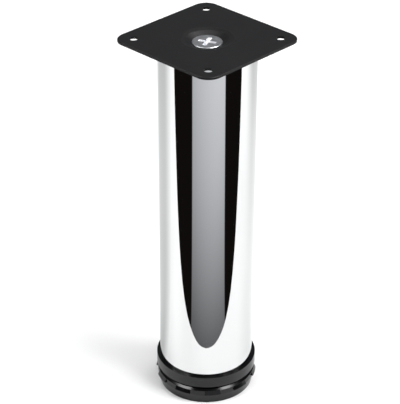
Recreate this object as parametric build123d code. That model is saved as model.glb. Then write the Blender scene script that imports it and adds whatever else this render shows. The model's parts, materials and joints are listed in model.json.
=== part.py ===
from build123d import *
import os
from math import sqrt

# Cabinet leg: a chrome-plated steel tube on a black screw-in levelling foot,
# with a square black mounting plate held to its top by one countersunk screw.
# Millimetres, +Z up, origin on the floor under the foot's centre.
# The plate's sides run along X and Y, and the foot is wound fully in.

# Tube
tube_diameter = 60.0
tube_wall = 1.2
tube_length = 222.0
tube_end_chamfer = 0.3

# Mounting plate
plate_side = 80.0
plate_thickness = 1.5
plate_corner_radius = 9.0
plate_edge_chamfer = 0.3
plate_hole_diameter = 5.5
plate_hole_spacing = 61.0
dish_diameter = 29.0
dish_bend = 1.5

# Countersunk screw at the plate's centre
thread_diameter = 10.0
thread_pitch = 1.5
pitch_line_depth = 0.6495
screw_head_diameter = 18.3
screw_head_rim = 0.8
screw_head_edge = 0.3
screw_length = 20.0
screw_head_drop = 2.0
screw_tip_chamfer = 0.8
recess_diameter = 11.4
recess_wing = 2.6
recess_depth = 4.2
recess_tip_diameter = 3.4
recess_turn = 25.0

# Hexagon nuts, alike in the top plug and in the bottom insert
nut_across_flats = 17.0
nut_height = 8.0
nut_corner_chamfer = 0.9
nut_corner_drop = 0.45

# Moulded plug inside the tube's top
plug_height = 20.0
plug_wall = 2.4
plug_top_thickness = 4.0
plug_boss_wall = 4.0
plug_web_count = 6
plug_web_thickness = 2.0
plug_recess_margin = 2.5
crush_rib_count = 6
crush_rib_width = 1.4

# Moulded insert in the tube's bottom, with the collar that shows below the tube
collar_ledge = 2.1
collar_height = 7.2
insert_skirt_height = 22.0
insert_wall = 2.4
insert_floor_thickness = 4.0
insert_boss_height = 17.0
insert_boss_wall = 4.0
insert_web_count = 4
insert_web_thickness = 2.0
insert_nut_recess = 1.7

# Levelling foot: a moulded base on a threaded stud
foot_height = 11.0
foot_side_inset = 0.5
foot_top_chamfer = 1.2
foot_taper_height = 6.3
foot_taper = 1.3
foot_wall = 3.0
foot_top_thickness = 3.0
lug_count = 10
lug_angle = 18.5
lug_bottom = 6.9
lug_height = 2.8
lug_land = 0.4
lug_reach = 1.1
lug_turn = 16.0
foot_hub_diameter = 24.0
foot_hub_recess = 0.8
foot_web_thickness = 2.0
foot_web_recess = 1.5
stud_head_diameter = 18.0
stud_head_height = 4.0
stud_head_floor = 3.0
stud_tip_chamfer = 1.0
foot_travel = 15.0

# How far a moulded web or lug runs into the walls it joins
web_root = 1.0

# Clearances
seat_clearance = 0.3
head_seat_clearance = 0.05
screw_hole_clearance = 0.3
moulding_clearance = 0.25
nut_pocket_clearance = 0.05
running_clearance = 0.05
foot_gap = 2.3

# Levels above the floor
collar_bottom = foot_height + foot_gap
tube_bottom = collar_bottom + collar_height
tube_top = tube_bottom + tube_length
plate_top = tube_top + plate_thickness
screw_top = plate_top - screw_head_drop
hub_top = collar_bottom - seat_clearance
insert_nut_bottom = collar_bottom + insert_nut_recess
insert_nut_top = insert_nut_bottom + nut_height
stud_head_top = stud_head_floor + stud_head_height

# Radii
tube_radius = tube_diameter / 2
tube_bore_radius = tube_radius - tube_wall
moulding_radius = tube_bore_radius - moulding_clearance
thread_radius = (thread_diameter - pitch_line_depth * thread_pitch) / 2
screw_hole_radius = thread_diameter / 2 + screw_hole_clearance
screw_head_radius = screw_head_diameter / 2
nut_pocket_flats = nut_across_flats + 2 * nut_pocket_clearance
nut_corner_radius = nut_across_flats / sqrt(3)
nut_pocket_corner_radius = nut_pocket_flats / sqrt(3)
plug_boss_radius = nut_pocket_corner_radius + plug_boss_wall
insert_boss_radius = nut_pocket_corner_radius + insert_boss_wall
collar_radius = tube_radius + collar_ledge
foot_side_radius = collar_radius - foot_side_inset
foot_floor_radius = foot_side_radius - foot_taper
foot_bore_radius = foot_floor_radius - foot_wall
stud_head_radius = stud_head_diameter / 2

# The plate's dish, as heights below the plate's top face: a shallow cone from
# the flat face to the screw's rim, then the 45 degree seat of the screw's head
dish_radius = dish_diameter / 2
dish_rim_radius = screw_head_radius + seat_clearance
dish_rim_drop = screw_head_drop + screw_head_rim - seat_clearance + head_seat_clearance
dish_hole_drop = dish_rim_drop + dish_rim_radius - screw_hole_radius
dish_depth = dish_hole_drop + plate_thickness / 2
dish_cut_radius = dish_radius + 2 * dish_bend

# The top plug's recess under the dish, with depths below the tube's top
plug_recess_radius = dish_radius + plug_recess_margin
plug_recess_depth = dish_depth - plate_thickness + seat_clearance
top_nut_drop = plug_recess_depth + plug_top_thickness
top_nut_bottom = tube_top - top_nut_drop - nut_height


def turned(points):
    """Turns a closed outline of (radius, height) points into a solid about the Z axis."""
    outline = make_face(Polyline(*points, close=True))
    return revolve(Plane.XZ * outline, Axis.Z)


def disc(radius, bottom, top):
    """An upright cylinder between two heights."""
    return Pos(0, 0, bottom) * extrude(Circle(radius), top - bottom)


def hexagon(across_flats, bottom, top):
    """An upright hexagonal prism between two heights."""
    outline = RegularPolygon(across_flats / 2, 6, major_radius=False)
    return Pos(0, 0, bottom) * extrude(outline, top - bottom)


def webs(count, thickness, inner, outer, bottom, top, turn=0.0):
    """Upright radial walls between two radii, evenly spaced about the Z axis."""
    web = Pos((inner + outer) / 2, 0, (bottom + top) / 2) * Box(outer - inner, thickness, top - bottom)
    return [Rot(0, 0, turn + 360 * i / count) * web for i in range(count)]


def crush_ribs(bottom, top):
    """Slim upright ribs that fill the gap between a moulding and the tube's bore."""
    root = moulding_radius - moulding_clearance
    ribs = webs(crush_rib_count, crush_rib_width, root, tube_radius, bottom, top)
    bore = disc(tube_bore_radius, bottom, top)
    return [rib & bore for rib in ribs]


def make_tube():
    """Plain round tube with lightly broken outer edges."""
    ring = extrude(Circle(tube_radius) - Circle(tube_bore_radius), tube_length)
    ends = ring.edges().filter_by(GeomType.CIRCLE).group_by(SortBy.RADIUS)[-1]
    return Pos(0, 0, tube_bottom) * chamfer(ends, tube_end_chamfer)


def plate_blank():
    """Flat square plate with rounded corners, a lightly broken top edge and four screw holes."""
    outline = RectangleRounded(plate_side, plate_side, plate_corner_radius)
    blank = extrude(outline, -plate_thickness)
    blank = chamfer(blank.edges().group_by(Axis.Z)[-1], plate_edge_chamfer)
    for place in GridLocations(plate_hole_spacing, plate_hole_spacing, 2, 2):
        blank -= place * disc(plate_hole_diameter / 2, -plate_thickness, 0)
    return blank


def dish_section():
    """Section of the pressed dish: its upper line, thickened downwards by the sheet's thickness.

    The bend at the dish's edge is a bevel at half the slope of the dish's wall.
    """
    seat_end = screw_hole_radius - plate_thickness
    wall_run = dish_radius - dish_rim_radius
    bend_share = dish_bend / sqrt(wall_run ** 2 + dish_rim_drop ** 2)
    upper = Polyline(
        (dish_cut_radius, 0),
        (dish_radius + dish_bend, 0),
        (dish_radius - bend_share * wall_run, -bend_share * dish_rim_drop),
        (dish_rim_radius, -dish_rim_drop),
        (seat_end, -dish_rim_drop - dish_rim_radius + seat_end),
    )
    return make_face(offset(upper, plate_thickness, side=Side.LEFT, closed=True))


def make_mounting_plate():
    """Square sheet steel plate, pressed down at its centre to take the screw's head."""
    dish = revolve(Plane.XZ * dish_section(), Axis.Z)
    dish &= disc(dish_cut_radius, -dish_depth, 0)
    dish -= disc(screw_hole_radius, -dish_depth, 0)
    blank = plate_blank() - disc(dish_cut_radius, -plate_thickness, 0)
    return Pos(0, 0, plate_top) * (blank + dish)


def cross_recess():
    """Cross-shaped driver recess, narrowing with depth."""
    arm = Box(recess_diameter, recess_wing, recess_depth)
    cross = arm + Rot(0, 0, 90) * arm
    envelope = Cone(recess_tip_diameter / 2, recess_diameter / 2, recess_depth)
    return Rot(0, 0, recess_turn) * Pos(0, 0, -recess_depth / 2) * (cross & envelope)


def make_centre_screw():
    """Countersunk machine screw, its thread drawn as a plain shank at the pitch diameter."""
    cone_end = screw_head_rim + screw_head_radius - thread_radius
    body = turned([
        (0, 0),
        (screw_head_radius - screw_head_edge, 0),
        (screw_head_radius, -screw_head_edge),
        (screw_head_radius, -screw_head_rim),
        (thread_radius, -cone_end),
        (thread_radius, screw_tip_chamfer - screw_length),
        (thread_radius - screw_tip_chamfer, -screw_length),
        (0, -screw_length),
    ])
    return Pos(0, 0, screw_top) * (body - cross_recess())


def make_nut(bottom, bore_radius):
    """Hexagon nut with chamfered corners on its lower, open side."""
    top = bottom + nut_height
    rounding = disc(nut_corner_radius, bottom, top)
    lower_rim = rounding.edges().filter_by(GeomType.CIRCLE).sort_by(Axis.Z)[0]
    rounding = chamfer(lower_rim, nut_corner_drop, nut_corner_chamfer)
    return (hexagon(nut_across_flats, bottom, top) & rounding) - disc(bore_radius, bottom, top)


def make_top_plug():
    """Moulded plug: skirt, top wall, webs and a boss with a hexagon pocket for the nut."""
    skirt_inner = moulding_radius - plug_wall
    shell = disc(moulding_radius, -plug_height, 0) - disc(skirt_inner, -plug_height, -plug_top_thickness)
    boss = disc(plug_boss_radius, -plug_height, 0)
    spokes = webs(plug_web_count, plug_web_thickness, plug_boss_radius - web_root, skirt_inner + web_root,
                  plug_wall - plug_height, web_root - plug_top_thickness)
    cup = disc(plug_recess_radius + plug_wall, -plug_recess_depth - plug_wall, web_root - plug_top_thickness)
    plug = shell + boss + cup + spokes + crush_ribs(-plug_height, 0)
    plug -= disc(plug_recess_radius, -plug_recess_depth, 0)
    plug -= hexagon(nut_pocket_flats, -plug_height, -top_nut_drop)
    plug -= disc(screw_hole_radius, -plug_height, 0)
    return Pos(0, 0, tube_top) * plug


def make_bottom_insert():
    """Moulded insert: collar outside the tube, skirt inside it and a boss that holds the foot's nut."""
    skirt_inner = moulding_radius - insert_wall
    skirt_top = tube_bottom + insert_skirt_height
    floor_top = collar_bottom + insert_floor_thickness
    boss_top = collar_bottom + insert_boss_height
    body = disc(collar_radius, collar_bottom, tube_bottom) + disc(moulding_radius, tube_bottom, skirt_top)
    body -= disc(skirt_inner, floor_top, skirt_top)
    body += disc(insert_boss_radius, collar_bottom, boss_top)
    body += webs(insert_web_count, insert_web_thickness, insert_boss_radius - web_root, skirt_inner + web_root,
                 floor_top - web_root, boss_top - insert_wall)
    body -= hexagon(nut_pocket_flats, collar_bottom, insert_nut_top)
    body -= disc(screw_hole_radius, collar_bottom, boss_top)
    return body


def make_foot_stud():
    """Threaded stud with a round head, its thread drawn as a plain shank at the pitch diameter."""
    top = insert_nut_top + foot_travel + stud_tip_chamfer
    return turned([
        (0, stud_head_floor),
        (stud_head_radius, stud_head_floor),
        (stud_head_radius, stud_head_top),
        (thread_radius, stud_head_top),
        (thread_radius, top - stud_tip_chamfer),
        (thread_radius - stud_tip_chamfer, top),
        (0, top),
    ])


def foot_form():
    """Outer form of the foot: tapered towards the floor, upright above, with a chamfered top edge."""
    return turned([
        (0, 0),
        (foot_floor_radius, 0),
        (foot_side_radius, foot_taper_height),
        (foot_side_radius, foot_height - foot_top_chamfer),
        (foot_side_radius - foot_top_chamfer, foot_height),
        (0, foot_height),
    ])


def grip_lugs():
    """Wedge-shaped lugs round the foot's side, where fingers or a hook turn it."""
    tip = foot_side_radius + lug_reach
    root = foot_side_radius - web_root
    lug_top = lug_bottom + lug_height
    section = make_face(Polyline(
        (root, lug_bottom),
        (tip, lug_bottom),
        (tip, lug_bottom + lug_land),
        (foot_side_radius, lug_top),
        (root, lug_top),
        close=True,
    ))
    lug = revolve(Plane.XZ * section, Axis.Z, revolution_arc=lug_angle)
    first = lug_turn - lug_angle / 2
    return [Rot(0, 0, first + 360 * i / lug_count) * lug for i in range(lug_count)]


def make_foot_base():
    """Moulded base: ribbed shell, grip lugs and a hub closed round the stud's head."""
    cavity_top = foot_height - foot_top_thickness
    hub_radius = foot_hub_diameter / 2
    base = foot_form() + grip_lugs() + disc(hub_radius, foot_hub_recess, hub_top)
    base -= disc(foot_bore_radius, 0, cavity_top) - disc(hub_radius, foot_hub_recess, cavity_top)
    base += webs(lug_count, foot_web_thickness, hub_radius - web_root, foot_bore_radius + web_root,
                 foot_web_recess, cavity_top + web_root, lug_turn)
    base -= disc(stud_head_radius + running_clearance, stud_head_floor - running_clearance,
                 stud_head_top + running_clearance)
    base -= disc(thread_radius + running_clearance, stud_head_floor, hub_top)
    return base


def main():
    """Builds every piece in place and writes one file for each."""
    pieces = {
        "mounting_plate": make_mounting_plate(),
        "centre_screw": make_centre_screw(),
        "top_plug": make_top_plug(),
        "top_nut": make_nut(top_nut_bottom, thread_radius),
        "tube": make_tube(),
        "bottom_insert": make_bottom_insert(),
        "insert_nut": make_nut(insert_nut_bottom, thread_radius + running_clearance),
        "foot_stud": make_foot_stud(),
        "foot_base": make_foot_base(),
    }
    os.makedirs("parts", exist_ok=True)
    for name, piece in pieces.items():
        export_step(piece, "parts/" + name + ".step")


main()
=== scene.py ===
"""Looks, studio light and camera for a chrome cabinet leg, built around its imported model.

The leg is a chrome-plated tube on a black moulded levelling foot, with a powder-coated
mounting plate held on top by one countersunk screw. Everything is in metres, in the
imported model's own frame: +Z up, origin on the floor under the foot's centre.
"""

import json
import logging
import math
from dataclasses import dataclass
from enum import Enum
from typing import Any, Iterable, Sequence

import bmesh
import bpy
from mathutils import Matrix, Vector

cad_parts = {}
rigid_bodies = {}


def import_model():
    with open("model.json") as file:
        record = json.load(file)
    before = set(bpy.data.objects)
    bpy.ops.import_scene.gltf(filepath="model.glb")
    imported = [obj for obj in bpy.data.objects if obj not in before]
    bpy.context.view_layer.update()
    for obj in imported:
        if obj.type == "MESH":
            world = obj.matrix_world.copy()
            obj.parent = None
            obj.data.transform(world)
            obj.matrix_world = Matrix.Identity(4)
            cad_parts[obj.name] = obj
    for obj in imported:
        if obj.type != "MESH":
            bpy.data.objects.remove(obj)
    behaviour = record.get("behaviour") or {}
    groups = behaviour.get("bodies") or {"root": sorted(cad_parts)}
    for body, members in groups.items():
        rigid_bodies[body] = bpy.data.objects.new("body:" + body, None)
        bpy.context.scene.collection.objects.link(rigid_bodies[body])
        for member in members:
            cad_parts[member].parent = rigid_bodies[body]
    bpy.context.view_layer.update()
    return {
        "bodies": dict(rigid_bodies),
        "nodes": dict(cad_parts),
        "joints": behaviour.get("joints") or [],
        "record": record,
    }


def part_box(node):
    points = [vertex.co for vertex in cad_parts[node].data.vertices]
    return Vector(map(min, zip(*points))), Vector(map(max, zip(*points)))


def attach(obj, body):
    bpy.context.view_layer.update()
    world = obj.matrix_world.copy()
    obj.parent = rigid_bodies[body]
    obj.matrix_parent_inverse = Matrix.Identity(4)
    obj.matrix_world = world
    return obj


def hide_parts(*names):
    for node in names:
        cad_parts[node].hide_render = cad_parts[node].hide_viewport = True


LOG = logging.getLogger("cabinet_leg")
MM = 0.001
CREASE_DEGREES = 30.0

Point2 = tuple[float, float]
Triple = tuple[float, float, float]
Window = tuple[float, float, float, float]
Frame = dict[str, Any]


def linear(hex_colour: str) -> tuple[float, float, float, float]:
    """Turns an sRGB hex colour into the linear values that the shaders take.

    Args:
        hex_colour: Six hex digits, with or without a leading #.

    Returns:
        Linear red, green and blue, and 1 for opaque.
    """
    digits = hex_colour.lstrip("#")
    shares = [int(digits[i:i + 2], 16) / 255 for i in (0, 2, 4)]
    red, green, blue = [s / 12.92 if s <= 0.04045 else ((s + 0.055) / 1.055) ** 2.4 for s in shares]
    return red, green, blue, 1.0


def grain(size_mm: float) -> float:
    """Texture scale, in cycles per metre, for grain of a size in millimetres."""
    return 1000 / size_mm


def add_node(tree: bpy.types.NodeTree, kind: str, links: dict[Any, Any] | None = None,
             **settings: Any) -> bpy.types.Node:
    """Adds one shader node with its settings, its socket values and its links.

    Args:
        tree: Node tree that takes the node.
        kind: Blender's name for the node type.
        links: For each input, by name or number, an output socket to link or a value to set.
        settings: Properties of the node itself.

    Returns:
        The new node.
    """
    node = tree.nodes.new(kind)
    for name, value in settings.items():
        setattr(node, name, value)
    for key, value in (links or {}).items():
        if isinstance(value, bpy.types.NodeSocket):
            tree.links.new(value, node.inputs[key])
        else:
            node.inputs[key].default_value = value
    return node


def empty_material(name: str) -> tuple[bpy.types.Material, bpy.types.NodeTree]:
    """Makes a material with an empty node tree.

    Args:
        name: Name of the material.

    Returns:
        The material and its tree.
    """
    material = bpy.data.materials.new(name)
    material.use_nodes = True
    material.node_tree.nodes.clear()
    return material, material.node_tree


def mesh_object(name: str, bm: bmesh.types.BMesh) -> bpy.types.Object:
    """Turns a bmesh into a linked object, smooth apart from its creases.

    Args:
        name: Name of the object and its mesh.
        bm: Mesh in metres, freed here.

    Returns:
        The new object.
    """
    bmesh.ops.recalc_face_normals(bm, faces=bm.faces)
    mesh = bpy.data.meshes.new(name)
    bm.to_mesh(mesh)
    bm.free()
    mesh.shade_smooth()
    mesh.set_sharp_from_angle(angle=math.radians(CREASE_DEGREES))
    made = bpy.data.objects.new(name, mesh)
    bpy.context.scene.collection.objects.link(made)
    return made


def turn_profile(bm: bmesh.types.BMesh, profile: Sequence[Point2], steps: int, closed: bool) -> None:
    """Turns a profile about the Z axis into a ring of faces.

    Args:
        bm: Mesh that takes the faces.
        profile: (radius, height) points in millimetres. A radius of 0 closes the surface there.
        steps: Faces round the axis.
        closed: Whether the last point joins the first.
    """
    rings = []
    for radius, height in profile:
        if radius == 0:
            rings.append([bm.verts.new((0, 0, height * MM))] * steps)
            continue
        turns = [2 * math.pi * i / steps for i in range(steps)]
        rings.append([
            bm.verts.new((radius * MM * math.cos(turn), radius * MM * math.sin(turn), height * MM))
            for turn in turns])
    pairs = list(zip(rings, rings[1:]))
    if closed:
        pairs.append((rings[-1], rings[0]))
    for lower, upper in pairs:
        for i in range(steps):
            j = (i + 1) % steps
            corners = dict.fromkeys([lower[i], lower[j], upper[j], upper[i]])
            if len(corners) > 2:
                bm.faces.new(list(corners))


# Finishes


@dataclass(frozen=True)
class PowderCoatedSteel:
    """Sheet steel with a baked satin powder coat.

    The powder flows out in the oven but not quite flat, so the eye sees a deep black with
    a faint pebbled sheen instead of sharp reflections.
    """

    colour: str = "#0e0e0f"
    worn_colour: str = "#141415"
    roughness: Point2 = (0.37, 0.48)
    specular: float = 0.22
    ior: float = 1.5
    pebble_mm: float = 0.7
    pebble_height_mm: float = 0.012
    pebble_strength: float = 0.55
    cloud_mm: float = 14.0

    def make(self) -> bpy.types.Material:
        """Builds the material, its colour and roughness drifting in clouds.

        Returns:
            The material.
        """
        material, tree = empty_material("powder_coated_steel_satin_black")
        place = add_node(tree, "ShaderNodeTexCoord").outputs["Object"]
        pebble = add_node(tree, "ShaderNodeTexNoise", {
            "Vector": place, "Scale": grain(self.pebble_mm), "Detail": 2.0, "Roughness": 0.6})
        cloud = add_node(tree, "ShaderNodeTexNoise", {
            "Vector": place, "Scale": grain(self.cloud_mm), "Detail": 3.0})
        shade = add_node(tree, "ShaderNodeMix", {
            "Factor": cloud.outputs["Fac"], "A": linear(self.colour), "B": linear(self.worn_colour)},
            data_type="RGBA")
        gloss = add_node(tree, "ShaderNodeMapRange", {
            "Value": cloud.outputs["Fac"], "To Min": self.roughness[0], "To Max": self.roughness[1]})
        bump = add_node(tree, "ShaderNodeBump", {
            "Strength": self.pebble_strength, "Distance": self.pebble_height_mm * MM,
            "Height": pebble.outputs["Fac"]})
        shader = add_node(tree, "ShaderNodeBsdfPrincipled", {
            "Base Color": shade.outputs["Result"], "Roughness": gloss.outputs["Result"],
            "IOR": self.ior, "Specular IOR Level": self.specular, "Normal": bump.outputs["Normal"]})
        add_node(tree, "ShaderNodeOutputMaterial", {"Surface": shader.outputs["BSDF"]})
        return material


@dataclass(frozen=True)
class ZincPlatedSteel:
    """Cold-formed steel with a bright zinc plate.

    The plate follows the die's matte surface, so it shines softly in blotches and never
    gives a clean mirror image. A punched recess stays duller, and it is painted paler than the
    face around it, a painted highlight for the lamps that its walls catch. The real grit is too
    fine for the render, so it is drawn coarser, at half a pixel.
    """

    colour: str = "#a7a9ac"
    bright_colour: str = "#d2d4d7"
    roughness: Point2 = (0.28, 0.46)
    # Painted highlight: pale colour painted in the recess for the lamps that its walls catch
    painted_recess_highlight_colour: str = "#e6e7ea"
    recess_metallic: float = 0.42
    recess_roughness: float = 0.6
    recess_radius_mm: float = 5.9
    recess_lip_mm: float = 0.15
    recess_depth_mm: float = 4.3
    blotch_mm: float = 1.8
    grit_mm: float = 0.35
    grit_height_mm: float = 0.006
    grit_strength: float = 0.6

    def recess_mask(self, tree: bpy.types.NodeTree, face_height: float) -> bpy.types.NodeSocket:
        """Marks what lies just below the screw's face and inside its recess.

        Args:
            tree: Node tree that takes the nodes.
            face_height: Height of the face in metres.

        Returns:
            1 in the recess and 0 elsewhere.
        """
        place = add_node(tree, "ShaderNodeTexCoord").outputs["Object"]
        split = add_node(tree, "ShaderNodeSeparateXYZ", {"Vector": place})
        flat = add_node(tree, "ShaderNodeCombineXYZ", {
            "X": split.outputs["X"], "Y": split.outputs["Y"]})
        radius = add_node(tree, "ShaderNodeVectorMath", {0: flat.outputs["Vector"]}, operation="LENGTH")
        inside = add_node(tree, "ShaderNodeMath", {
            0: radius.outputs["Value"], 1: self.recess_radius_mm * MM}, operation="LESS_THAN")
        below = add_node(tree, "ShaderNodeMath", {
            0: split.outputs["Z"], 1: face_height - self.recess_lip_mm * MM}, operation="LESS_THAN")
        above = add_node(tree, "ShaderNodeMath", {
            0: split.outputs["Z"], 1: face_height - self.recess_depth_mm * MM},
            operation="GREATER_THAN")
        band = add_node(tree, "ShaderNodeMath", {
            0: below.outputs[0], 1: above.outputs[0]}, operation="MULTIPLY")
        both = add_node(tree, "ShaderNodeMath", {
            0: inside.outputs[0], 1: band.outputs[0]}, operation="MULTIPLY")
        return both.outputs[0]

    def make(self, face_height: float) -> bpy.types.Material:
        """Builds the material, blotched all over and painted pale in the screw's recess as a painted
        highlight.

        Args:
            face_height: Height of the screw's face in metres.

        Returns:
            The material.
        """
        material, tree = empty_material("zinc_plated_steel_cold_formed")
        place = add_node(tree, "ShaderNodeTexCoord").outputs["Object"]
        blotch = add_node(tree, "ShaderNodeTexNoise", {
            "Vector": place, "Scale": grain(self.blotch_mm), "Detail": 3.0})
        grit = add_node(tree, "ShaderNodeTexNoise", {
            "Vector": place, "Scale": grain(self.grit_mm), "Detail": 2.0})
        gloss = add_node(tree, "ShaderNodeMapRange", {
            "Value": blotch.outputs["Fac"], "To Min": self.roughness[0], "To Max": self.roughness[1]})
        recess = self.recess_mask(tree, face_height)
        dull = add_node(tree, "ShaderNodeMix", {
            "Factor": recess, "A": gloss.outputs["Result"], "B": self.recess_roughness},
            data_type="FLOAT")
        face = add_node(tree, "ShaderNodeMix", {
            "Factor": blotch.outputs["Fac"], "A": linear(self.colour), "B": linear(self.bright_colour)},
            data_type="RGBA")
        # Painted highlight: the recess takes the pale painted colour in place of the light its walls
        # catch
        plate = add_node(tree, "ShaderNodeMix", {
            "Factor": recess, "A": face.outputs["Result"], "B": linear(self.painted_recess_highlight_colour)},
            data_type="RGBA")
        bare = add_node(tree, "ShaderNodeMapRange", {
            "Value": recess, "To Min": 1.0, "To Max": self.recess_metallic})
        bump = add_node(tree, "ShaderNodeBump", {
            "Strength": self.grit_strength, "Distance": self.grit_height_mm * MM,
            "Height": grit.outputs["Fac"]})
        shader = add_node(tree, "ShaderNodeBsdfPrincipled", {
            "Base Color": plate.outputs["Result"], "Metallic": bare.outputs["Result"],
            "Roughness": dull.outputs["Result"], "Normal": bump.outputs["Normal"]})
        add_node(tree, "ShaderNodeOutputMaterial", {"Surface": shader.outputs["BSDF"]})
        return material


@dataclass(frozen=True)
class ChromePlatedSteel:
    """Polished steel tube with decorative chromium plate.

    It gives a nearly perfect mirror with a cool cast. The polishing wheel leaves very
    faint hoops round the tube, which only soften the edges of what it reflects. Real hoops
    are much finer, and these are as coarse as the render needs to hold them.
    """

    colour: str = "#dcdddd"
    roughness: Point2 = (0.015, 0.05)
    haze_mm: float = 9.0
    hoop_mm: float = 1.6
    hoop_stretch: Triple = (0.06, 0.06, 1.0)
    hoop_height_mm: float = 0.0004
    hoop_strength: float = 0.5

    def make(self) -> bpy.types.Material:
        """Builds the material, its hoops drawn by a noise that is stretched round the tube.

        Returns:
            The material.
        """
        material, tree = empty_material("chrome_plated_steel_polished")
        place = add_node(tree, "ShaderNodeTexCoord").outputs["Object"]
        along = add_node(tree, "ShaderNodeMapping", {"Vector": place, "Scale": self.hoop_stretch})
        hoops = add_node(tree, "ShaderNodeTexNoise", {
            "Vector": along.outputs["Vector"], "Scale": grain(self.hoop_mm), "Detail": 2.0})
        haze = add_node(tree, "ShaderNodeTexNoise", {
            "Vector": place, "Scale": grain(self.haze_mm), "Detail": 4.0})
        gloss = add_node(tree, "ShaderNodeMapRange", {
            "Value": haze.outputs["Fac"], "To Min": self.roughness[0], "To Max": self.roughness[1]})
        bump = add_node(tree, "ShaderNodeBump", {
            "Strength": self.hoop_strength, "Distance": self.hoop_height_mm * MM,
            "Height": hoops.outputs["Fac"]})
        shader = add_node(tree, "ShaderNodeBsdfPrincipled", {
            "Base Color": linear(self.colour), "Metallic": 1.0, "Roughness": gloss.outputs["Result"],
            "Normal": bump.outputs["Normal"]})
        add_node(tree, "ShaderNodeOutputMaterial", {"Surface": shader.outputs["BSDF"]})
        return material


@dataclass(frozen=True)
class MouldedNylon:
    """Black glass-filled nylon, injection moulded in a fine-eroded tool.

    Flat faces stay near black, slightly mottled where the fibres lie near the skin, and
    rounded edges catch the lamps in soft bright streaks. The real eroded grain, about 0.1 mm,
    is too fine for the render, so it is drawn coarser, at just under a pixel.
    """

    colour: str = "#040405"
    fibre_colour: str = "#080809"
    roughness: Point2 = (0.09, 0.2)
    specular: float = 0.37
    ior: float = 1.53
    erosion_mm: float = 0.45
    erosion_height_mm: float = 0.008
    erosion_strength: float = 0.5
    mottle_mm: float = 5.0

    def make(self) -> bpy.types.Material:
        """Builds the material, its colour and roughness drifting with the fibres.

        Returns:
            The material.
        """
        material, tree = empty_material("glass_filled_nylon_moulded_black")
        place = add_node(tree, "ShaderNodeTexCoord").outputs["Object"]
        erosion = add_node(tree, "ShaderNodeTexNoise", {
            "Vector": place, "Scale": grain(self.erosion_mm), "Detail": 2.0})
        mottle = add_node(tree, "ShaderNodeTexNoise", {
            "Vector": place, "Scale": grain(self.mottle_mm), "Detail": 4.0})
        shade = add_node(tree, "ShaderNodeMix", {
            "Factor": mottle.outputs["Fac"], "A": linear(self.colour), "B": linear(self.fibre_colour)},
            data_type="RGBA")
        gloss = add_node(tree, "ShaderNodeMapRange", {
            "Value": mottle.outputs["Fac"], "To Min": self.roughness[0], "To Max": self.roughness[1]})
        bump = add_node(tree, "ShaderNodeBump", {
            "Strength": self.erosion_strength, "Distance": self.erosion_height_mm * MM,
            "Height": erosion.outputs["Fac"]})
        shader = add_node(tree, "ShaderNodeBsdfPrincipled", {
            "Base Color": shade.outputs["Result"], "Roughness": gloss.outputs["Result"],
            "IOR": self.ior, "Specular IOR Level": self.specular, "Normal": bump.outputs["Normal"]})
        add_node(tree, "ShaderNodeOutputMaterial", {"Surface": shader.outputs["BSDF"]})
        return material


class Finish(Enum):
    """The leg's finishes, with the record's material slot as the value."""

    POWDER_COAT = "powder_coated_steel"
    ZINC = "zinc_plated_steel"
    CHROME = "chrome_plated_steel"
    NYLON = "black_plastic"


class FinishShop:
    """Makes each finish once and puts it on the pieces."""

    def __init__(self) -> None:
        """Builds the four materials."""
        self.materials: dict[Finish, bpy.types.Material] = {
            Finish.POWDER_COAT: PowderCoatedSteel().make(),
            Finish.ZINC: ZincPlatedSteel().make(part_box("centre_screw")[1].z),
            Finish.CHROME: ChromePlatedSteel().make(),
            Finish.NYLON: MouldedNylon().make(),
        }

    def dress(self, piece: bpy.types.Object, finish: Finish) -> None:
        """Gives a piece its finish, in every slot it has.

        Args:
            piece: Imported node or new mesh.
            finish: Which finish it takes.
        """
        if not piece.material_slots:
            piece.data.materials.append(self.materials[finish])
        for slot in piece.material_slots:
            slot.material = self.materials[finish]
        LOG.info("%s dressed as %s", piece.name, self.materials[finish].name)


# Sub-assemblies


@dataclass
class MountingHead:
    """Plate, centre screw and what they clamp inside the tube's top."""

    coated: tuple[str, ...] = ("mounting_plate",)
    zinc: tuple[str, ...] = ("centre_screw", "top_nut")
    moulded: tuple[str, ...] = ("top_plug",)

    def build(self, frame: Frame, shop: FinishShop) -> None:
        """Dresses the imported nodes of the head.

        Args:
            shop: The finishes.
        """
        dressing = (
            (self.coated, Finish.POWDER_COAT), (self.zinc, Finish.ZINC), (self.moulded, Finish.NYLON))
        for names, finish in dressing:
            for name in names:
                shop.dress(frame["nodes"][name], finish)


@dataclass
class ChromeTube:
    """The polished tube, turned finely enough for its reflections to run true."""

    node: str = "tube"
    body: str = "leg"
    radius_mm: float = 30.0
    wall_mm: float = 1.2
    edge_mm: float = 0.3
    steps: int = 360

    def profile(self) -> list[Point2]:
        """Section of the wall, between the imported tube's own ends.

        Returns:
            Points of the closed section in millimetres.
        """
        low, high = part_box(self.node)
        bottom, top = low.z / MM, high.z / MM
        outer, inner = self.radius_mm, self.radius_mm - self.wall_mm
        return [
            (inner, bottom), (outer - self.edge_mm, bottom), (outer, bottom + self.edge_mm),
            (outer, top - self.edge_mm), (outer - self.edge_mm, top), (inner, top),
        ]

    def build(self, shop: FinishShop) -> bpy.types.Object:
        """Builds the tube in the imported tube's place.

        Args:
            shop: The finishes.

        Returns:
            The tube.
        """
        bm = bmesh.new()
        turn_profile(bm, self.profile(), self.steps, closed=True)
        tube = mesh_object("chrome_tube", bm)
        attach(tube, self.body)
        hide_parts(self.node)
        shop.dress(tube, Finish.CHROME)
        return tube


@dataclass
class BottomInsert:
    """Moulded insert in the tube's bottom and the nut it holds."""

    moulded: str = "bottom_insert"
    nut: str = "insert_nut"

    def build(self, frame: Frame, shop: FinishShop) -> None:
        """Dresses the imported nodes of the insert.

        Args:
            shop: The finishes.
        """
        shop.dress(frame["nodes"][self.moulded], Finish.NYLON)
        shop.dress(frame["nodes"][self.nut], Finish.ZINC)


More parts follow.
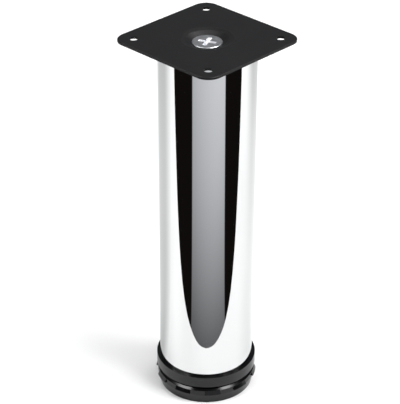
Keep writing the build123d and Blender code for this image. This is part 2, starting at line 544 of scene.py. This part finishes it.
@dataclass
class LevellingFoot:
    """Moulded foot and its stud, with the stud's thread cut as a real helix."""

    base: str = "foot_base"
    stud: str = "foot_stud"
    body: str = "stud"
    thread_mm: float = 10.0
    pitch_mm: float = 1.5
    thread_depth_mm: float = 0.92
    crest_share: float = 0.125
    root_share: float = 0.25
    tip_chamfer_mm: float = 1.0
    head_mm: float = 18.0
    head_height_mm: float = 4.0
    thread_start_mm: float = 12.6
    weld_mm: float = 0.002
    steps: int = 48

    def root_mm(self) -> float:
        """Radius at the bottom of the thread, in millimetres."""
        return self.thread_mm / 2 - self.thread_depth_mm

    def thread_section(self) -> list[Point2]:
        """One pitch of the thread's flank line.

        Returns:
            (share of the pitch, radius in millimetres) points, root to root.
        """
        crest = self.thread_mm / 2
        root = self.root_mm()
        flank = (1 - self.crest_share - self.root_share) / 2
        rise = self.root_share / 2
        return [
            (0.0, root),
            (rise, root),
            (rise + flank, crest),
            (rise + flank + self.crest_share, crest),
            (rise + 2 * flank + self.crest_share, root),
        ]

    def thread(self, bm: bmesh.types.BMesh, bottom: float, top: float) -> None:
        """Adds the helical thread between two heights, closed by its tip.

        Args:
            bm: Mesh that takes the thread.
            bottom: Height where it leaves the plain shank, in millimetres.
            top: Height of the stud's tip, in millimetres.
        """
        root = self.root_mm()
        tip = self.thread_mm / 2 - self.tip_chamfer_mm
        section = self.thread_section()
        turns = range(-1, math.ceil((top - bottom) / self.pitch_mm) + 1)
        line = [((turn + share) * self.pitch_mm, radius) for turn in turns for share, radius in section]
        columns = []
        for i in range(self.steps + 1):
            angle = 2 * math.pi * i / self.steps
            column = []
            for rise, radius in line:
                height = min(max(bottom + rise + self.pitch_mm * i / self.steps, bottom), top)
                cut = min(radius, tip + top - height, root + max(height - bottom, 0)) * MM
                place = (cut * math.cos(angle), cut * math.sin(angle), height * MM)
                column.append(bm.verts.new(place))
            columns.append(column)
        for left, right in zip(columns, columns[1:]):
            for k in range(len(line) - 1):
                bm.faces.new((left[k], right[k], right[k + 1], left[k + 1]))

    def build_stud(self) -> bpy.types.Object:
        """Builds the stud: round head, plain shank and thread.

        Returns:
            The stud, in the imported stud's place.
        """
        low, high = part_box(self.stud)
        bottom, top = low.z / MM, high.z / MM
        head_top = bottom + self.head_height_mm
        head, root = self.head_mm / 2, self.root_mm()
        profile = [
            (0, bottom), (head, bottom), (head, head_top), (root, head_top),
            (root, self.thread_start_mm),
        ]
        bm = bmesh.new()
        turn_profile(bm, profile, self.steps, closed=False)
        self.thread(bm, self.thread_start_mm, top)
        bmesh.ops.remove_doubles(bm, verts=bm.verts, dist=self.weld_mm * MM)
        bmesh.ops.holes_fill(bm, edges=bm.edges, sides=0)
        return mesh_object("threaded_stud", bm)

    def build(self, frame: Frame, shop: FinishShop) -> bpy.types.Object:
        """Dresses the base and puts the threaded stud in place of the plain one.

        Args:
            shop: The finishes.

        Returns:
            The threaded stud.
        """
        shop.dress(frame["nodes"][self.base], Finish.NYLON)
        stud = self.build_stud()
        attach(stud, self.body)
        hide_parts(self.stud)
        shop.dress(stud, Finish.ZINC)
        return stud


# Studio


def direction(bearing_degrees: float, height_degrees: float) -> Vector:
    """Turns a bearing and a height into a direction in the floor plan.

    Args:
        bearing_degrees: 0 is the camera's side, and positive bearings are to its right.
        height_degrees: Angle above the floor.

    Returns:
        Unit vector, with +Y away from the camera.
    """
    bearing, height = math.radians(bearing_degrees), math.radians(height_degrees)
    across, ahead = math.sin(bearing) * math.cos(height), math.cos(bearing) * math.cos(height)
    return Vector((across, -ahead, math.sin(height)))


def show_partly(tree: bpy.types.NodeTree, share: bpy.types.NodeSocket, glow: bpy.types.Node) -> None:
    """Ends a card's material: the glow by a share, and clear for the rest.

    Args:
        tree: Node tree that takes the nodes.
        share: 0 where the card is clear and 1 where only the glow shows.
        glow: The card's emission node.
    """
    clear = add_node(tree, "ShaderNodeBsdfTransparent")
    mix = add_node(tree, "ShaderNodeMixShader", {
        "Fac": share, 1: clear.outputs["BSDF"], 2: glow.outputs["Emission"]})
    add_node(tree, "ShaderNodeOutputMaterial", {"Surface": mix.outputs["Shader"]})


def bearing_window(tree: bpy.types.NodeTree, bearing: bpy.types.NodeSocket,
                   degrees: Window) -> bpy.types.NodeSocket:
    """Lets a range of bearings through, with soft ends.

    Args:
        tree: Node tree that takes the nodes.
        bearing: Bearing in radians.
        degrees: Where the window starts to open, is open, starts to close and is closed.

    Returns:
        0 outside the window and 1 inside it.
    """
    opens, is_open, closes, is_closed = [math.radians(value) for value in degrees]
    rise = add_node(tree, "ShaderNodeMapRange", {
        "Value": bearing, "From Min": opens, "From Max": is_open}, interpolation_type="SMOOTHSTEP")
    fall = add_node(tree, "ShaderNodeMapRange", {
        "Value": bearing, "From Min": is_closed, "From Max": closes}, interpolation_type="SMOOTHSTEP")
    both = add_node(tree, "ShaderNodeMath", {
        0: rise.outputs[0], 1: fall.outputs[0]}, operation="MULTIPLY")
    return both.outputs[0]


@dataclass(frozen=True)
class PhotoCamera:
    """The photograph's camera, as fitted to the leg's own outlines."""

    place: Triple = (-0.60995, -0.59083, 0.63133)
    aim: Triple = (-0.00286, 0.00292, 0.13263)
    focal_mm: float = 141.1
    sensor_mm: float = 36.0
    roll_degrees: float = 0.09

    def axes(self) -> Matrix:
        """Turn of the floor plan that puts +Y away from the camera.

        Returns:
            Rotation about Z.
        """
        away = Vector(self.aim) - Vector(self.place)
        return Matrix.Rotation(math.atan2(away.y, away.x) - math.pi / 2, 4, "Z")

    def build(self) -> bpy.types.Object:
        """Creates the camera and makes it the scene's own.

        Returns:
            The camera.
        """
        data = bpy.data.cameras.new("photo_camera")
        data.lens = self.focal_mm
        data.sensor_width = self.sensor_mm
        data.sensor_fit = "AUTO"
        camera = bpy.data.objects.new("photo_camera", data)
        bpy.context.scene.collection.objects.link(camera)
        look = (Vector(self.aim) - Vector(self.place)).to_track_quat("-Z", "Y").to_matrix().to_4x4()
        roll = Matrix.Rotation(math.radians(self.roll_degrees), 4, "Z")
        camera.matrix_world = Matrix.Translation(self.place) @ look @ roll
        bpy.context.scene.camera = camera
        LOG.info("camera set at %s", self.place)
        return camera


@dataclass(frozen=True)
class Softbox:
    """One soft lamp, with its angles in degrees and its lengths in metres."""

    name: str
    bearing_degrees: float
    height_degrees: float
    distance: float
    width: float
    length: float
    radiance: float
    aim_height: float = 0.08

    def build(self, plan: Matrix) -> bpy.types.Object:
        """Hangs the lamp, facing the lower half of the leg.

        Args:
            plan: Floor plan with +Y away from the camera.

        Returns:
            The lamp.
        """
        data = bpy.data.lights.new(self.name, "AREA")
        data.shape = "RECTANGLE"
        data.size, data.size_y = self.width, self.length
        data.energy = self.radiance * math.pi * self.width * self.length
        lamp = bpy.data.objects.new(self.name, data)
        bpy.context.scene.collection.objects.link(lamp)
        aim = Vector((0, 0, self.aim_height))
        spot = direction(self.bearing_degrees, self.height_degrees) * self.distance
        place = plan @ spot + aim
        facing = (aim - place).to_track_quat("-Z", "Y")
        lamp.matrix_world = Matrix.Translation(place) @ facing.to_matrix().to_4x4()
        return lamp


@dataclass
class Studio:
    """White floor, lamps, and painted reflections of the room that the chrome mirrors.

    Two glowing cards lie just above the floor, and only mirrors see them. The one in front
    is a painted reflection of a dim room, dark at both sides, with a grey wedge between them,
    and the one behind is painted shade that dims the white sweep in the mirrors.
    Lengths are in metres where a name doesn't say millimetres.
    """

    plan: Matrix

    # Floor
    floor_reach: float = 6.0
    floor_colour: str = "#f4f4f4"
    floor_roughness: float = 0.6
    fibre_mm: float = 0.8
    fibre_height_mm: float = 0.02
    fibre_strength: float = 0.1

    # Room: each edge is two cosines of the angle from the middle of its bright patch
    room_colour: str = "#8a8b8d"
    room_strength: float = 0.35
    sweep_strength: float = 0.85
    sweep_edge: Point2 = (0.55, 0.95)
    glow_bearing_degrees: float = 15.0
    glow_height_degrees: float = 12.0
    glow_strength: float = 2.0
    glow_edge: Point2 = (0.86, 0.98)

    # Cards: height above the floor, outline of the one in front, and where both fade out
    card_height_mm: float = 0.6
    # Painted reflection: outline of the front card that glows with the greys the chrome is to show
    mirror_card_near: tuple[Point2, ...] = (
        (-0.840, -0.1080), (-0.350, -0.1010), (-0.200, -0.0946), (-0.055, -0.0918), (-0.025, -0.0893),
        (0.0, -0.0885), (0.050, -0.0882), (0.250, -0.0797), (0.840, -0.0390),
    )
    mirror_card_far: float = -0.84
    card_fade: Point2 = (0.56, 0.83)

    # Grey wedge of the painted reflection: its bearings, the share of it that chrome gives back, its
    # ends ahead, its sRGB greys from near to far with the distance they need, its brightness as a slope
    # and a middle value over the bearing, its cast, and the dark at both sides
    wedge_degrees: Window = (-33.7, -31.3, 39.6, 41.8)
    chrome_share: float = 0.725
    wedge_reach: Point2 = (0.088, 0.70)
    wedge_greys: tuple[int, int] = (93, 205)
    wedge_fall: float = 0.155
    wedge_stops: int = 16
    wedge_tilt: Point2 = (0.286, 0.955)
    wedge_cast: Triple = (0.985, 0.995, 1.035)
    dark_level: Triple = (0.0066, 0.0052, 0.0048)

    # Card behind, painted shade: each fall has its bearings, its depth at the leg and its growth per
    # metre
    sweep_card_far: float = 0.95
    sweep_level: float = 0.4
    sweep_falls: tuple[tuple[Window, float, float], ...] = (
        ((-97, -67, -45, -15), 0.42, 0.46),
        ((2, 15, 52, 87), -0.10, 1.40),
    )

    # Lamps: bearing, height, distance, width, length and radiance
    lamps: tuple[Softbox, ...] = (
        Softbox("key_softbox_right", 66, 51, 1.5, 0.93, 0.62, 11.0),
        Softbox("fill_softbox_left", -67, 45, 1.5, 1.0, 0.38, 9.2),
        Softbox("top_softbox_overhead", 180, 86, 1.7, 1.5, 1.2, 2.6),
        Softbox("rim_softbox_behind", 137, 58, 1.5, 0.5, 0.5, 5.0),
    )

    def build_floor(self) -> bpy.types.Object:
        """Lays the white floor.

        Returns:
            The floor.
        """
        bm = bmesh.new()
        reach = self.floor_reach
        corners = ((-reach, -reach), (reach, -reach), (reach, reach), (-reach, reach))
        bm.faces.new([bm.verts.new((x, y, 0)) for x, y in corners])
        floor = mesh_object("studio_floor", bm)
        material, tree = empty_material("matte_white_paper")
        place = add_node(tree, "ShaderNodeTexCoord").outputs["Object"]
        fibre = add_node(tree, "ShaderNodeTexNoise", {
            "Vector": place, "Scale": grain(self.fibre_mm), "Detail": 3.0})
        bump = add_node(tree, "ShaderNodeBump", {
            "Strength": self.fibre_strength, "Distance": self.fibre_height_mm * MM,
            "Height": fibre.outputs["Fac"]})
        shader = add_node(tree, "ShaderNodeBsdfDiffuse", {
            "Color": linear(self.floor_colour), "Roughness": self.floor_roughness,
            "Normal": bump.outputs["Normal"]})
        add_node(tree, "ShaderNodeOutputMaterial", {"Surface": shader.outputs["BSDF"]})
        floor.data.materials.append(material)
        return floor

    def card_strength(self, tree: bpy.types.NodeTree,
                      place: bpy.types.NodeSocket) -> bpy.types.NodeSocket:
        """Lets a card fade out far from the leg, so that no mirrored edge looks cut.

        Args:
            tree: Node tree that takes the nodes.
            place: Position on the card.

        Returns:
            1 near the leg, falling to 0 at the end of the fade.
        """
        starts, ends = self.card_fade
        distance = add_node(tree, "ShaderNodeVectorMath", {0: place}, operation="LENGTH")
        fade = add_node(tree, "ShaderNodeMapRange", {
            "Value": distance.outputs["Value"], "From Min": starts, "From Max": ends,
            "To Min": 1.0, "To Max": 0.0}, interpolation_type="SMOOTHSTEP")
        return fade.outputs["Result"]

    def wedge_grey(self, distance: float) -> float:
        """Grey that the wedge shows in the chrome, brightening quickly at first and then less.

        Args:
            distance: Metres from the wedge's near end.

        Returns:
            Linear value of the grey.
        """
        low, high = self.wedge_greys
        level = round(low + (high - low) * (1 - math.exp(-distance / self.wedge_fall)))
        return linear(f"{level:02x}" * 3)[0]

    def painted_reflection_material(self) -> bpy.types.Material:
        """Painted reflection of a dim room front: black at both sides, a grey wedge between them.

        Returns:
            A glow that fades to clear, laid out in the card's own plan.
        """
        material, tree = empty_material("painted_room_reflection")
        place = add_node(tree, "ShaderNodeTexCoord").outputs["Object"]
        split = add_node(tree, "ShaderNodeSeparateXYZ", {"Vector": place})
        ahead = add_node(tree, "ShaderNodeMath", {
            0: split.outputs["Y"], 1: -1.0}, operation="MULTIPLY")
        bearing = add_node(tree, "ShaderNodeMath", {
            0: split.outputs["X"], 1: ahead.outputs[0]}, operation="ARCTAN2")
        inside = bearing_window(tree, bearing.outputs[0], self.wedge_degrees)
        near, far = self.wedge_reach
        along = add_node(tree, "ShaderNodeMapRange", {
            "Value": ahead.outputs[0], "From Min": near, "From Max": far})
        ramp = add_node(tree, "ShaderNodeValToRGB", {"Fac": along.outputs["Result"]})
        stops = ramp.color_ramp.elements
        stops.remove(stops[1])
        for number in range(self.wedge_stops):
            share = number / (self.wedge_stops - 1)
            stop = stops[0] if number == 0 else stops.new(share)
            stop.position = share
            shade = self.wedge_grey(share * (far - near)) / self.chrome_share
            stop.color = tuple(shade * cast for cast in self.wedge_cast) + (1.0,)
        slope, middle = self.wedge_tilt
        tilt = add_node(tree, "ShaderNodeMath", {
            0: bearing.outputs[0], 1: slope, 2: middle}, operation="MULTIPLY_ADD")
        wedge = add_node(tree, "ShaderNodeVectorMath", {
            0: ramp.outputs["Color"], "Scale": tilt.outputs[0]}, operation="SCALE")
        dark = self.dark_level + (1.0,)
        shade = add_node(tree, "ShaderNodeMix", {
            "Factor": inside, "A": dark, "B": wedge.outputs["Vector"]}, data_type="RGBA")
        # Painted reflection: the card glows with the greys that the chrome is to show
        glow = add_node(tree, "ShaderNodeEmission", {"Color": shade.outputs["Result"], "Strength": 1.0})
        show_partly(tree, self.card_strength(tree, place), glow)
        return material

    def painted_sweep_shade_material(self) -> bpy.types.Material:
        """Painted shade: the white sweep's fall-off behind the leg, to the left and to the right, as
        the mirrors show it.

        Returns:
            A mix of clear and dim grey, laid out in the card's own plan.
        """
        material, tree = empty_material("painted_sweep_shade")
        place = add_node(tree, "ShaderNodeTexCoord").outputs["Object"]
        split = add_node(tree, "ShaderNodeSeparateXYZ", {"Vector": place})
        bearing = add_node(tree, "ShaderNodeMath", {
            0: split.outputs["X"], 1: split.outputs["Y"]}, operation="ARCTAN2")
        distance = add_node(tree, "ShaderNodeVectorMath", {0: place}, operation="LENGTH")
        falls = []
        for degrees, start, rate in self.sweep_falls:
            depth = add_node(tree, "ShaderNodeMath", {
                0: distance.outputs["Value"], 1: rate, 2: start},
                operation="MULTIPLY_ADD", use_clamp=True)
            window = bearing_window(tree, bearing.outputs[0], degrees)
            fall = add_node(tree, "ShaderNodeMath", {
                0: window, 1: depth.outputs[0]}, operation="MULTIPLY")
            falls.append(fall.outputs[0])
        left, right = falls
        both = add_node(tree, "ShaderNodeMath", {0: left, 1: right}, operation="ADD", use_clamp=True)
        whole = add_node(tree, "ShaderNodeMath", {
            0: both.outputs[0], 1: self.card_strength(tree, place)}, operation="MULTIPLY")
        # Painted shade: a dim glow that the mirrors see in place of the brighter floor
        glow = add_node(tree, "ShaderNodeEmission", {"Strength": self.sweep_level})
        show_partly(tree, whole.outputs[0], glow)
        return material

    def lay_card(self, name: str, corners: Sequence[Point2],
                 material: bpy.types.Material) -> bpy.types.Object:
        """Lays a glowing card that only mirrors see, just above the floor, to paint what they show.

        Args:
            name: Name of the card.
            corners: Its corners in the floor plan, in metres.
            material: What it shows.

        Returns:
            The card.
        """
        bm = bmesh.new()
        bm.faces.new([bm.verts.new((x, y, self.card_height_mm * MM)) for x, y in corners])
        card = mesh_object(name, bm)
        card.matrix_world = self.plan
        card.data.materials.append(material)
        card.visible_camera = False
        card.visible_diffuse = False
        card.visible_shadow = False
        card.visible_transmission = False
        return card

    def build_cards(self) -> None:
        """Lays the painted reflection of a dim room in front of the leg and the painted shade of the
        sweep behind it.
        """
        near = self.mirror_card_near
        front = near + ((near[-1][0], self.mirror_card_far), (near[0][0], self.mirror_card_far))
        self.lay_card("painted_reflection_card", front, self.painted_reflection_material())
        far = self.sweep_card_far
        behind = ((-far, 0.0), (far, 0.0), (far, far), (-far, far))
        self.lay_card("painted_sweep_shade_card", behind, self.painted_sweep_shade_material())

    def build_room(self) -> None:
        """Sets the dim grey of the room, brighter behind the leg and low in front of it."""
        world = bpy.data.worlds.new("studio_room")
        world.use_nodes = True
        tree = world.node_tree
        tree.nodes.clear()
        sight = add_node(tree, "ShaderNodeTexCoord").outputs["Generated"]
        away = self.plan @ Vector((0.0, 1.0, 0.0))
        behind = add_node(tree, "ShaderNodeVectorMath", {
            0: sight, 1: tuple(away)}, operation="DOT_PRODUCT")
        sweep = add_node(tree, "ShaderNodeMapRange", {
            "Value": behind.outputs["Value"],
            "From Min": self.sweep_edge[0], "From Max": self.sweep_edge[1],
            "To Min": self.room_strength, "To Max": self.sweep_strength},
            interpolation_type="SMOOTHSTEP")
        ahead = self.plan @ direction(self.glow_bearing_degrees, self.glow_height_degrees)
        near_glow = add_node(tree, "ShaderNodeVectorMath", {
            0: sight, 1: tuple(ahead)}, operation="DOT_PRODUCT")
        glow = add_node(tree, "ShaderNodeMapRange", {
            "Value": near_glow.outputs["Value"],
            "From Min": self.glow_edge[0], "From Max": self.glow_edge[1],
            "To Min": 0.0, "To Max": self.glow_strength}, interpolation_type="SMOOTHSTEP")
        whole = add_node(tree, "ShaderNodeMath", {
            0: sweep.outputs["Result"], 1: glow.outputs["Result"]}, operation="ADD")
        room = add_node(tree, "ShaderNodeBackground", {
            "Color": linear(self.room_colour), "Strength": whole.outputs[0]})
        add_node(tree, "ShaderNodeOutputWorld", {"Surface": room.outputs["Background"]})
        bpy.context.scene.world = world

    def build(self) -> None:
        """Builds the whole set and its plain tone curve."""
        self.build_room()
        self.build_floor()
        self.build_cards()
        for lamp in self.lamps:
            lamp.build(self.plan)
        bpy.context.scene.view_settings.view_transform = "Standard"
        LOG.info("studio set up with %d lamps", len(self.lamps))


def main() -> None:
    """Builds the leg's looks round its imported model, then the studio and camera."""
    logging.basicConfig(level=logging.INFO, format="%(name)s: %(message)s")
    for leftover in list(bpy.data.objects):
        bpy.data.objects.remove(leftover)
    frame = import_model()
    shop = FinishShop()
    MountingHead().build(frame, shop)
    ChromeTube().build(shop)
    BottomInsert().build(frame, shop)
    LevellingFoot().build(frame, shop)
    camera = PhotoCamera()
    camera.build()
    Studio(plan=camera.axes()).build()


if __name__ == "__main__":
    main()
